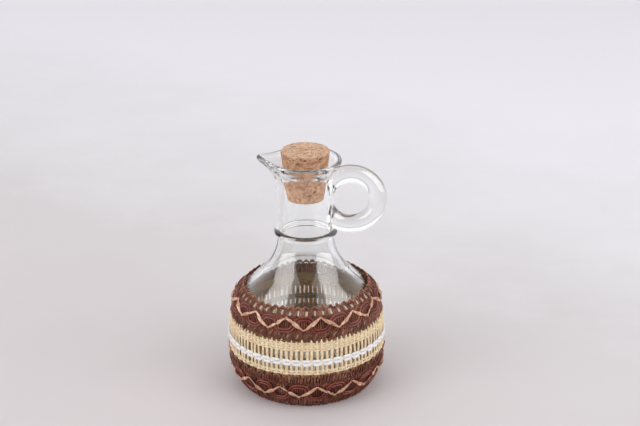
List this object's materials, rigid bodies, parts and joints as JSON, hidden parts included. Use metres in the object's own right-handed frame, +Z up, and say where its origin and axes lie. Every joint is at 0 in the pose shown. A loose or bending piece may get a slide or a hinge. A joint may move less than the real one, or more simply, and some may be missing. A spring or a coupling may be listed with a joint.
{
  "type": "glass oil and vinegar cruet with cork and braided sleeve",
  "caption": "Small glass cruet with a pouring lip, a ring handle, a tapered cork and a sleeve of brown, cream and white woven trims.",
  "frame": {"origin": "middle of the glass foot, on the surface the cruet stands on", "axes": "+Z up along the neck, +X towards the ring handle, -X towards the pouring lip"},
  "size_m": [0.0876, 0.087, 0.1354],
  "materials": {
    "clear_glass": "clear, polished",
    "cork": "matt natural cork with dark pits",
    "brown_braid": "shiny thread braid",
    "copper_ribbon": "satin",
    "rust_cord": "shiny twisted cord",
    "cream_weave": "matt cotton",
    "white_chain": "soft shiny thread"
  },
  "bodies": {
    "root": {"bottle": "clear_glass", "cork": "cork", "upper_braid": "brown_braid", "upper_ribbon": "copper_ribbon", "upper_cord": "rust_cord", "cream_band": "cream_weave", "white_chain": "white_chain", "lower_braid": "brown_braid", "lower_ribbon": "copper_ribbon", "lower_cord": "rust_cord"}
  },
  "joints": []
}
